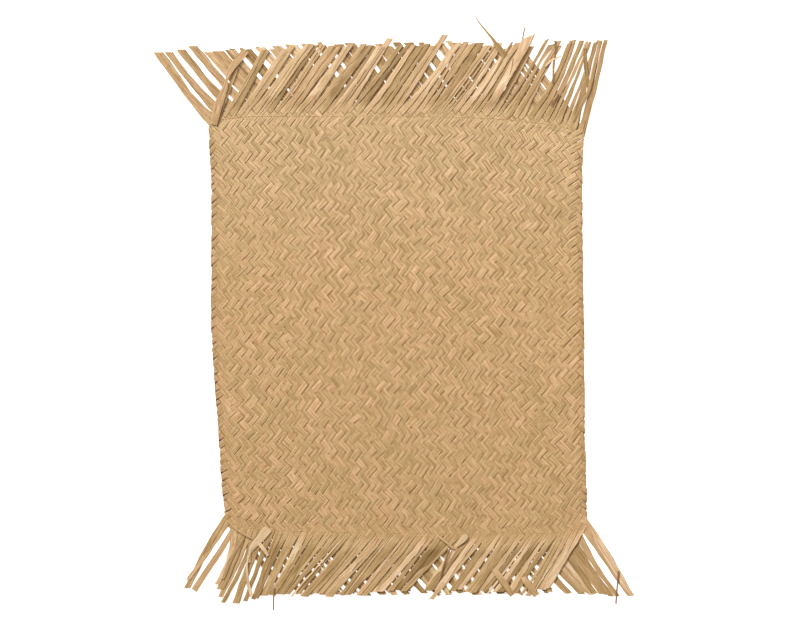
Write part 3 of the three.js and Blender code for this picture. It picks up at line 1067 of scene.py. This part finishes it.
# %% Strips that have split
SPLIT_SHARE = 0.3
WHOLE_AT_CORNER = 7
SPLIT_PLACE = 0.8
SPLIT_GAP = 0.02


def strip_parts(row, strand):
    """A loose strip as one part or two: where each starts and ends across the strip."""
    seed, strip = row["seed"], strand["strip"]
    from_corner = strip if row["outer"] == "left" else STRIPS_PER_END - 1 - strip
    whole = from_corner < WHOLE_AT_CORNER or uneven(seed, strip, "split") > SPLIT_SHARE
    if strand["odd"] or strip_change(row, strand)["listed"] or whole:
        return [(-1, 1)]
    middle = offset(seed, strip, "cup", SPLIT_PLACE)
    return [(-1, middle - SPLIT_GAP), (middle + SPLIT_GAP, 1)]


def part_section(part):
    """The supple section's places across, squeezed into one part of a strip."""
    low, high = part
    return {"across": (low + high) / 2 + (high - low) / 2 * SUPPLE["across"]}


print("parts of the first strips:", [len(strip_parts(row, strand_of(row, 12))) for row in STRAND_ROWS])

# %% [markdown]
# ## How a loose strip lies
# Each loose strip grows out of its own plaited strip and curves gently to its tip, with a cup and roll of its
# own, because dried leaf is never quite flat. A few are pinched by a twist. Its path is worked out in three
# parts: the tip, the plan from above, and the height over the floor.

# %% Tip and twist of a loose strip
LOOSE_SECTIONS = 20
PART_STEP = 100
SPLIT_SPREAD = 1.6
SPLIT_REACH = 3.5
TWIST_FROM, TWIST_SPAN = 0.3, 0.5
TWIST_RARE, TWIST_PINCH, TWIST_LENGTH = 0.94, 0.55, 0.12


def loose_tip(row, strand, part, own):
    """Where a loose strip or part of one ends, and half its width there."""
    change = strip_change(row, strand)
    half = across_width(strand) / 2 * TIP_WIDTH_SHARE * strip_fullness(row, strand["strip"]) * change["wider"]
    tip = strand["tip"] + (change["shift_x"], change["shift_y"])
    low, high = part
    if high - low < 2:
        tip[0] += half * (low + high) / 2 + offset(row["seed"], own, "bow", SPLIT_SPREAD)
        tip[1] += offset(row["seed"], own, "reach", SPLIT_REACH)
        half = half * (high - low) / 2
    return tip, half


def twist_pinch(seed, own, share):
    """How much a strip is pinched by a twist, along it. Most have none."""
    twist_at = TWIST_FROM + TWIST_SPAN * uneven(seed, own, "curl")
    twisted = TWIST_PINCH if uneven(seed, own, "tone") > TWIST_RARE else 0
    return twisted * np.exp(-(((share - twist_at) / TWIST_LENGTH) ** 2))


print("sections of a loose strip:", LOOSE_SECTIONS)

# %% Plan of a loose strip
SMOOTH_LEAVING = 0.8
LARGEST_KINK = 4
GAP_OPENING = 0.6
SWAY, SWAY_TURNS = 0.35, 7.5
EDGE_SWAY, EDGE_TURNS = 0.2, 23


def leaving_kink(held, tip):
    """How far a strip swings to one side because it leaves in the plait's direction."""
    leaving = held[-1].mean(0) - held[-3].mean(0)
    run = tip - held[-1][:, :2].mean(0)
    kink = (leaving[0] / leaving[1] - run[0] / run[1]) * run[1] * SMOOTH_LEAVING
    return np.clip(kink, -LARGEST_KINK, LARGEST_KINK)


def loose_plan(row, strand, held, part, own, share, pinch, turn):
    """The x and y of a loose strip's sections, from the last held one to the tip."""
    change = strip_change(row, strand)
    tip, half = loose_tip(row, strand, part, own)
    across = SUPPLE["across"]
    root = held[-1][:, :2].mean(0)
    root_x, root_y = (held[-1][:, :2] - root).T
    freed = 1 - (1 - share) ** 3
    wide = (root_x * (1 - freed) + half * across * freed) * (1 - pinch) * (1 + (change["tip"] - 1) * share**2)
    x = root[0] + (tip[0] - root[0]) * share + wide
    x = x + leaving_kink(held, tip) * share * (1 - share) ** 2
    x = x + gap_push(row, strand["strip"]) * share**GAP_OPENING
    x = x + change["bow"] * 4 * share * (1 - share) + SWAY * np.sin(SWAY_TURNS * share + turn) * share
    x = x + EDGE_SWAY * across**3 * np.sin(EDGE_TURNS * share + 5 * turn + across)
    y = root[1] + (tip[1] - root[1]) * share
    return x, y + root_y * (1 - freed) - change["trim"] / 2 * across * freed


print("a loose strip sways", SWAY, "mm")

# %% Height of a loose strip
LEVELS = (0.25, 0.65, 1.7, 1.95)
PART_LIFT = 0.2
SHINGLE = 0.34
EASE_OUT = 0.25
LEAST_CUP, CUP_SPREAD, CUP_MIDDLE = 0.05, 0.14, 0.4
ROLL_SPREAD, ROLL_TURNS, TWIST_ROLL = 0.12, 2.2, 1.2
CURL, CURL_FROM = 1.5, 0.6
LOWEST = 0.03


def loose_heights(row, strand, held, number, own, share, pinch, turn):
    """The z of a loose strip's sections: its level, with its cup, its roll and the curl of its tip."""
    seed, across = row["seed"], SUPPLE["across"]
    cup = offset(seed, own, "cup", CUP_SPREAD) + LEAST_CUP
    roll = offset(seed, own, "roll", ROLL_SPREAD) + pinch * TWIST_ROLL
    lying = LEVELS[strand["level"]] + strip_change(row, strand)["lift"] + PART_LIFT * number
    lying = lying + SUPPLE["lift"] * THICKNESS / 2
    lying = lying + CURL * max(0, uneven(seed, own, "curl") - CURL_FROM) * share**3
    lying = lying - cup * (across * across - CUP_MIDDLE) + roll * across * np.sin(ROLL_TURNS * share + turn)
    lying = lying + SHINGLE * row["front"] * across
    root_z = held[-1][:, 2]
    return root_z + (np.maximum(lying, LOWEST) - root_z) * eased(np.clip(share / EASE_OUT, 0, 1))


def loose_points(row, strand, held, part, number):
    """Sections of a loose strip or part of one, from the plait to its trimmed end."""
    seed, own = row["seed"], strand["strip"] + PART_STEP * number
    share = np.linspace(0, 1, LOOSE_SECTIONS + 1)[1:, None]
    bends = own, share, twist_pinch(seed, own, share), math.tau * uneven(seed, own, "sway")
    x, y = loose_plan(row, strand, held, part, *bends)
    return np.stack([x, y, loose_heights(row, strand, held, number, *bends)], -1), share


print("loose strips lie", LEVELS, "mm up")

# %% A loose strip with its held end
HELD_ROWS = 1.2
HELD_SECTIONS = 9
LEAST_HELD = 0.02
PLAIT_LEAN = 49
TURN_AWAY = 14
ROOT_SHADE, ROOT_DARK = 0.3, 1.4
PART_TONE = 0.37
FIRST_STRIPS = {"top": {True: -50, False: 50}, "bottom": {True: 0, False: 0}}


def fringe_rows(row, strand):
    """The rows that still hold a loose strip: fewer where it turns away from the plait's lean."""
    run = strand["tip"] - strand["root"]
    lean = math.degrees(math.atan2(abs(run[1]), abs(run[0])))
    held = HELD_ROWS * max(0.0, 1 - abs(lean - PLAIT_LEAN) / TURN_AWAY)
    if row["end"] == "top":
        return SHEET_ROWS[1], TOP_ROW + held
    return BOTTOM_ROW - held, SHEET_ROWS[0]


def add_loose_strip(ribbons, row, strand):
    """Adds one loose strip, with the end of its plaited strip, to the ribbons."""
    end = row["end"]
    lean = RISING if row["front"] else FALLING
    plaited = FIRST_STRIPS[end][row["front"]] + strand["strip"]
    sign = 1 if (lean is RISING) == (end == "top") else -1
    share = np.linspace(0, 1, HELD_SECTIONS)[::sign, None]
    length = np.hypot(*(strand["tip"] - strand["root"]))
    tone = strip_change(row, strand)["tone"]
    for number, part in enumerate(strip_parts(row, strand)):
        lanes = strip_lanes(lean, plaited, part_section(part))
        low, high = lane_ends(lean, plaited, lanes, SUPPLE, *fringe_rows(row, strand))
        at = low + (np.maximum(high, low + LEAST_HELD) - low) * share
        held = plaited_points(lean, plaited, at, lanes, SUPPLE)
        loose, reached = loose_points(row, strand, held, part, number)
        run = np.concatenate([at * STEP, at[-1] * STEP + sign * reached * length])
        seed = tone or strip_seed(lean, plaited) + PART_TONE * number
        still = np.zeros((len(held), 1))
        out = np.concatenate([still, np.clip(reached / EASE_OUT, 0, 1)])
        # Painted shade near the roots of the front strips, where they leave the plait.
        painted_shadow = np.concatenate([still, np.clip(ROOT_DARK - reached / ROOT_SHADE, 0, 1) * row["front"]])
        ribbons.add(np.concatenate([held, loose]), run, seed, out, painted_shadow)


print("loose strips are held for up to", HELD_ROWS, "rows")

# %% Both fringes
TWISTED_STRIPS = [(11, 0)]


def fringe(end, name):
    """One end's last plaited row with its loose strips. A twisted one is a stray strip instead."""
    ribbons = Ribbons(SUPPLE)
    for row in STRAND_ROWS:
        if row["end"] == end:
            for strand in strands_of(row):
                if (row["seed"], strand["strip"]) not in TWISTED_STRIPS:
                    add_loose_strip(ribbons, row, strand)
    piece = ribbon_object(ribbons, name, loose_leaf)
    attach(piece, "root")
    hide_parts("fringe_" + end)
    print(name, len(ribbons.faces), "loose strips,", triangles(piece), "triangles")
    return piece


top_fringe = fringe("top", "top_fringe_strips")
bottom_fringe = fringe("bottom", "bottom_fringe_strips")

# %% [markdown]
# ## Stray strips
# A few strips don't follow the rest. At the top they are a long splinter, a twisted strip at the left corner,
# two slivers, and two strips that cross at the right corner. At the bottom a wide stub curls up under the
# strip that covers it, a pale strip twists among narrow ones at the left corner, and two ends cross their
# neighbours. Each is one more ribbon, swept along a short path with its own height, width and roll at every
# point.

# %% A strip along a short path
PATH_STEPS = 8
STRAY_COLUMNS = ("x", "y", "z", "width", "roll")


def smooth_path(rows):
    """Rows of a path with more rows between them, on a smooth curve."""
    rows = {name: column for name, column in zip(STRAY_COLUMNS, zip(*rows))}
    rows["station"] = np.arange(len(rows["x"]), dtype=float)
    at = np.linspace(0, len(rows["x"]) - 1, PATH_STEPS * (len(rows["x"]) - 1) + 1)
    return {name: along(rows, "station", name, at) for name in STRAY_COLUMNS}


def add_stray(ribbons, rows, seed):
    """Sweeps a section along a path and adds it to the ribbons."""
    path = smooth_path(rows)
    section = ribbons.section
    forward = np.stack([np.gradient(path["x"]), np.gradient(path["y"])], -1)
    step = np.hypot(forward[:, 0], forward[:, 1])
    side = np.stack([forward[:, 1], -forward[:, 0]], -1) / step[:, None]
    reach = path["width"][:, None] / 2 * section["across"]
    x = path["x"][:, None] + side[:, :1] * reach
    y = path["y"][:, None] + side[:, 1:] * reach
    z = path["z"][:, None] + path["roll"][:, None] * section["across"] + section["lift"] * THICKNESS / 2
    run = np.repeat(np.cumsum(step)[:, None], len(section["across"]), 1)
    ribbons.add(np.stack([x, y, z], -1), run, seed, 1.0)


def stray_piece(name, strays, node):
    """Stray strips, each with the number that gives its tone, as one piece."""
    ribbons = Ribbons(SUPPLE)
    for rows, seed in strays:
        add_stray(ribbons, rows, seed)
    piece = ribbon_object(ribbons, name, loose_leaf)
    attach(piece, "root")
    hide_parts(node)
    print(name, len(ribbons.faces), "strips,", triangles(piece), "triangles")
    return piece


print("sections between two points of a path:", PATH_STEPS)

# %% Stray strips at the top
SPLINTER = [
    (95.5, 225.8, 1.6, 5.8, 0.1),
    (88.4, 235.2, 2.8, 5.2, 0.1),
    (85, 240, 2.9, 3.6, 0.1),
    (81.3, 245.3, 2.8, 2.4, 0.1),
    (77.4, 250, 2.6, 1.7, 0.1),
    (70.7, 258.2, 2.2, 1.2, 0.0),
    (66.3, 265.4, 2.0, 0.5, 0.0),
]
CORNER_TWIST = [
    (-158.4, 170.5, 1.6, 7.0, 0.1),
    (-154.9, 185.1, 3.0, 8.0, 0.2),
    (-151.2, 195.5, 3.6, 6.6, 0.2),
    (-147.8, 204.1, 4.0, 4.6, 0.5),
    (-147.1, 209.3, 4.2, 2.6, 0.8),
    (-143.3, 217.9, 4.0, 5.0, 0.3),
    (-137.2, 226.5, 3.6, 6.2, -0.1),
    (-130.3, 234.3, 3.4, 6.0, 0.0),
]
SLIVERS = [
    [(127.3, 220.5, 3.4, 1.4, 0.1), (132.5, 225.7, 3.8, 2.0, 0.3), (141.1, 229.5, 3.4, 1.2, 0.0)],
    [(135.9, 242.9, 3.2, 2.0, 0.2), (136.4, 233.4, 3.6, 1.6, 0.5),
     (134.6, 221.4, 3.4, 1.8, -0.4), (134.2, 205.8, 2.8, 1.6, 0.1)],
]
CROSSED_CORNER = [
    [(166.5, 196, 1.2, 2.6, 0.1), (163.8, 208, 2.9, 3.4, 0.2),
     (162.3, 220, 3.1, 3.6, 0.2), (161.3, 236.2, 2.9, 3.2, 0.0)],
    [(151.5, 172.5, 0.8, 2.4, 0.0), (158, 186, 2.6, 2.8, 0.1), (165, 200.6, 3.2, 3.2, 0.2),
     (169.8, 221, 3.3, 3.2, 0.2), (174.8, 242.8, 2.9, 3.0, 0.0)],
]
TOP_STRAYS = [(SPLINTER, BROWN), (CORNER_TWIST, TAN)]
TOP_STRAYS += zip(SLIVERS + CROSSED_CORNER, (PALE, DULL, DARK, BROWN))
top_strays = stray_piece("top_stray_strips", TOP_STRAYS, "fringe_top")

# %% Stray strips at the bottom
STUB = [
    (50.4, -193.6, 3.0, 1.8, -0.1),
    (53.6, -190, 3.2, 3.6, 0.0),
    (56.5, -186.8, 3.3, 5.2, 0.05),
    (58.6, -184.4, 3.3, 4.6, 0.05),
    (59.9, -183, 3.2, 2.2, 0.0),
]
STUB_COVER = [
    (35.4, -184.7, 1.9, 1.6, 0.1),
    (41.9, -189.4, 3.2, 1.8, 0.1),
    (47, -193.7, 3.4, 2.2, 0.0),
    (49.6, -195.2, 3.2, 1.6, -0.1),
]
PALE_TWIST = [
    (-111, -177.5, 2.0, 6.8, 0.1),
    (-117, -184.5, 2.6, 7.4, 0.1),
    (-123.5, -192, 3.2, 5.4, 0.4),
    (-127, -199, 3.2, 2.4, 0.6),
    (-128, -207, 3.0, 2.4, -0.3),
]
CROSSED_ENDS = [
    [(82, -210.5, 1.2, 4.6, 0.0), (86.5, -217, 3.2, 5.2, 0.1),
     (92.5, -225.5, 3.4, 5.4, 0.1), (99, -235, 3.2, 4.6, 0.0)],
    [(107, -218, 1.2, 4.4, 0.0), (110.5, -223, 3.2, 4.8, 0.1),
     (114.5, -228.5, 3.3, 4.8, 0.1), (119.5, -235.4, 3.2, 4.4, 0.0)],
]
CORNER_STRIPS = [
    [(-145.5, -172, 1.4, 1.4, 0.1), (-140.2, -177.5, 2.0, 1.6, 0.1),
     (-130.5, -183.5, 2.6, 1.8, 0.1), (-124, -187, 2.6, 1.6, 0.0)],
    [(-119.5, -190, 2.8, 3.0, 0.2), (-115.5, -195, 3.4, 3.2, 0.3), (-111.5, -201, 3.0, 2.6, 0.0)],
    [(-126, -192, 3.4, 2.4, 0.3), (-129.5, -207, 3.6, 1.6, -0.7),
     (-129, -222, 3.4, 2.6, 0.5), (-126, -236, 3.0, 3.4, 0.1)],
    [(-134, -187, 2.8, 2.6, 0.1), (-143, -203, 3.2, 3.0, 0.4), (-150.5, -221, 3.0, 2.4, 0.2)],
    [(-138.5, -173, 0.2, 4.2, 0.0), (-145, -184, 1.6, 4.6, 0.1), (-153.5, -198, 2.8, 5.0, 0.1),
     (-164, -213.5, 3.0, 5.0, 0.1), (-175.4, -230.8, 2.8, 5.2, 0.0)],
]
BOTTOM_STRAYS = [(STUB, PALE), (STUB_COVER, DIM), (PALE_TWIST, PALE)]
BOTTOM_STRAYS += zip(CROSSED_ENDS + CORNER_STRIPS, (MID, MID, MID, PALE, PALE, DIM, TAN))
bottom_strays = stray_piece("bottom_stray_strips", BOTTOM_STRAYS, "fringe_bottom")

# %% [markdown]
# ## Sewing thread
# A line of stitches along each end holds the last row before the strips go loose. The thread is thin and
# nearly the colour of the leaf, so it shows mostly where an end was left hanging. Each stitch dives into the
# mat at both ends. A thread is a small round tube, swept along its own path.

# %% Thread
THREAD_SIDES = 6
THREAD_ROUGH = 0.8


def thread_rings(path, radius):
    """Rings of points round a path."""
    turn = np.linspace(0, math.tau, THREAD_SIDES, endpoint=False)[:, None]
    forward = np.gradient(path, axis=0)
    forward /= np.linalg.norm(forward, axis=1)[:, None]
    side = np.cross(forward, (0, 0, 1))
    side /= np.maximum(np.linalg.norm(side, axis=1), 1e-6)[:, None]
    over = np.cross(side, forward)
    return path[:, None] + radius * (np.cos(turn) * side[:, None] + np.sin(turn) * over[:, None])


def thread_piece(name, paths, radius, finish, node):
    """Threads as round tubes along paths of x, y, z in millimetres, joined into one piece."""
    points, faces = [], []
    for path in paths:
        first = sum(len(block) for block in points)
        points.append(thread_rings(np.array(path, float), radius).reshape(-1, 3))
        last = first + len(points[-1]) - THREAD_SIDES
        for ring in range(first, last, THREAD_SIDES):
            for place in range(THREAD_SIDES):
                here, beside = ring + place, ring + (place + 1) % THREAD_SIDES
                faces.append((here, beside, beside + THREAD_SIDES, here + THREAD_SIDES))
        faces += [tuple(range(ring, ring + THREAD_SIDES)) for ring in (first, last)]
    piece = new_object(name, np.concatenate(points), faces)
    finish_mesh(piece)
    piece.data.materials.append(finish)
    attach(piece, "root")
    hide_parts(node)
    print(name, len(paths), "lengths of thread,", triangles(piece), "triangles")
    return piece


thread = plain_material("sewing thread", {"Base Color": colour(206, 172, 124), "Roughness": THREAD_ROUGH})
brown_thread = plain_material("brown thread", {"Base Color": colour(138, 100, 66), "Roughness": THREAD_ROUGH})
print("threads have", THREAD_SIDES, "sides")

# %% Stitches
THREAD_RADIUS = 0.2
STITCH_PITCH = 0.86
STITCH_COLUMNS = 0.62 * np.array([0, 0.12, 0.5, 0.88, 1])
STITCH_DEPTH, STITCH_CROWN = 0.5, 0.08
SEAMS = {
    "top": {"first": 2.2, "last": 99.6, "row": TOP_ROW - 0.78, "rise": 0.2},
    "bottom": {"first": 3, "last": 99, "row": BOTTOM_ROW + 0.12, "rise": 0.11},
}


def stitches(end):
    """Paths of the stitches along one end: up out of the mat, along it and down again."""
    seam = SEAMS[end]
    rise = seam["rise"]
    rises = np.array([-STITCH_DEPTH, rise, rise + STITCH_CROWN, rise, -STITCH_DEPTH])
    z = MIDDLE + LIFT + THICKNESS / 2 + rises
    paths = []
    for column in np.arange(seam["first"], seam["last"], STITCH_PITCH):
        x, y = mat_point(column + STITCH_COLUMNS, np.full(len(z), seam["row"]))
        paths.append(np.stack([x, y, z], -1))
    return paths


top_stitches = thread_piece("top_stitches", stitches("top"), THREAD_RADIUS, thread, "fringe_top")
bottom_stitches = thread_piece("bottom_stitches", stitches("bottom"), THREAD_RADIUS, thread, "fringe_bottom")

# %% Thread ends
TOP_ENDS = [
    [(107, 236, 3), (107.6, 243, 3.2), (108.6, 249, 3.4), (110, 254.5, 3)],
    [(132.5, 187, 3.6), (134, 190, 3.8), (137, 193.5, 3.8), (138.5, 197, 3.6)],
    [(94.5, 205, 3.6), (96, 212, 3.8), (98.5, 219, 3.8), (99.7, 227, 3.6)],
]
BOTTOM_ENDS = [
    [(-106, -229, 3), (-106.5, -235, 3), (-107, -241, 2.6), (-107, -248, 2)],
    [(190.5, -214, 2.4), (189.9, -222, 2.2), (189, -232, 2), (188.3, -242.5, 1.6)],
    [(45.3, -195, 3.8), (42, -203, 3.8), (39, -212, 3.6), (37.5, -219.5, 3.4)],
]
TOP_END_RADIUS = 0.6
BOTTOM_END_RADIUS = 0.65
top_ends = thread_piece("top_thread_ends", TOP_ENDS, TOP_END_RADIUS, brown_thread, "fringe_top")
bottom_ends = thread_piece("bottom_thread_ends", BOTTOM_ENDS, BOTTOM_END_RADIUS, brown_thread, "fringe_bottom")

# %% [markdown]

# %% [markdown]
# ## Floor, light and camera
# The photograph looks straight down on a white ground. One lamp from the upper left, with soft edges to its
# shadows, draws the fine dark line on the lower right of each rising strip. A wide lamp beyond the top end
# makes that end a little brighter, and an even pale sky fills the rest.

# %% Floor
FLOOR_SIZE = 6
FLOOR_DROP = 0.0001
FLOOR_FINISH = {
    "Base Color": (0.85, 0.85, 0.85, 1),
    "Emission Color": (1, 1, 1, 1),
    "Emission Strength": 0.75,
    "Roughness": 0.9,
    "Specular IOR Level": 0.1,
}
bpy.ops.object.select_all(action="DESELECT")
bpy.ops.mesh.primitive_plane_add(size=FLOOR_SIZE, location=(0, 0, -FLOOR_DROP))
floor = bpy.context.object
floor.name = "floor"
bpy.ops.object.transform_apply(location=True)
floor.data.materials.append(plain_material("floor paint", FLOOR_FINISH))
print("floor", FLOOR_SIZE, "m across")

# %% Lamps
# Besides the key's own shadows, the leaf's finish paints a shadow line on the lower right of each rising strip.
KEY_STRENGTH = 2.13
KEY_ANGLE = 6
KEY_TURN = (math.radians(-36), math.radians(-34), 0)
TOP_LAMP_POWER = 17
TOP_LAMP_SIZE = 1.2
TOP_LAMP_PLACE = (0, 1.1, 1.3)
TOP_LAMP_TURN = (math.radians(-40), 0, 0)
bpy.ops.object.light_add(type="SUN", rotation=KEY_TURN)
key = bpy.context.object
key.name = "key"
key.data.energy = KEY_STRENGTH
key.data.angle = math.radians(KEY_ANGLE)
bpy.ops.object.light_add(type="AREA", location=TOP_LAMP_PLACE, rotation=TOP_LAMP_TURN)
top_lamp = bpy.context.object
top_lamp.name = "top_lamp"
top_lamp.data.energy = TOP_LAMP_POWER
top_lamp.data.size = TOP_LAMP_SIZE
print("lamps", key.name, KEY_STRENGTH, "and", top_lamp.name, TOP_LAMP_POWER)

# %% Sky
SKY_STRENGTH = 0.3
SKY_TINT = (1, 0.91, 0.79, 1)
world = bpy.data.worlds.new("pale sky")
world.use_nodes = True
sky = world.node_tree.nodes["Background"]
sky.inputs["Color"].default_value = SKY_TINT
sky.inputs["Strength"].default_value = SKY_STRENGTH
bpy.context.scene.world = world
bpy.context.scene.view_settings.view_transform = "Standard"
print("sky", SKY_STRENGTH)

# %% Camera
VIEW_WIDTH = 690.4
VIEW_MIDDLE = (2.16, 2.59)
LENS = 100
SENSOR = 36
distance = VIEW_WIDTH / SENSOR * LENS * MM
place = ((VIEW_MIDDLE[0] + SHIFT_X) * MM, (VIEW_MIDDLE[1] + SHIFT_Y) * MM, distance)
bpy.ops.object.camera_add(location=place, rotation=(0, 0, 0))
camera = bpy.context.object
camera.data.lens = LENS
camera.data.sensor_width = SENSOR
camera.data.clip_end = 100
bpy.context.scene.camera = camera
print("camera", round(distance, 3), "m above the mat")

# %% [markdown]
# The dressed mat has to stay in the solids' box.
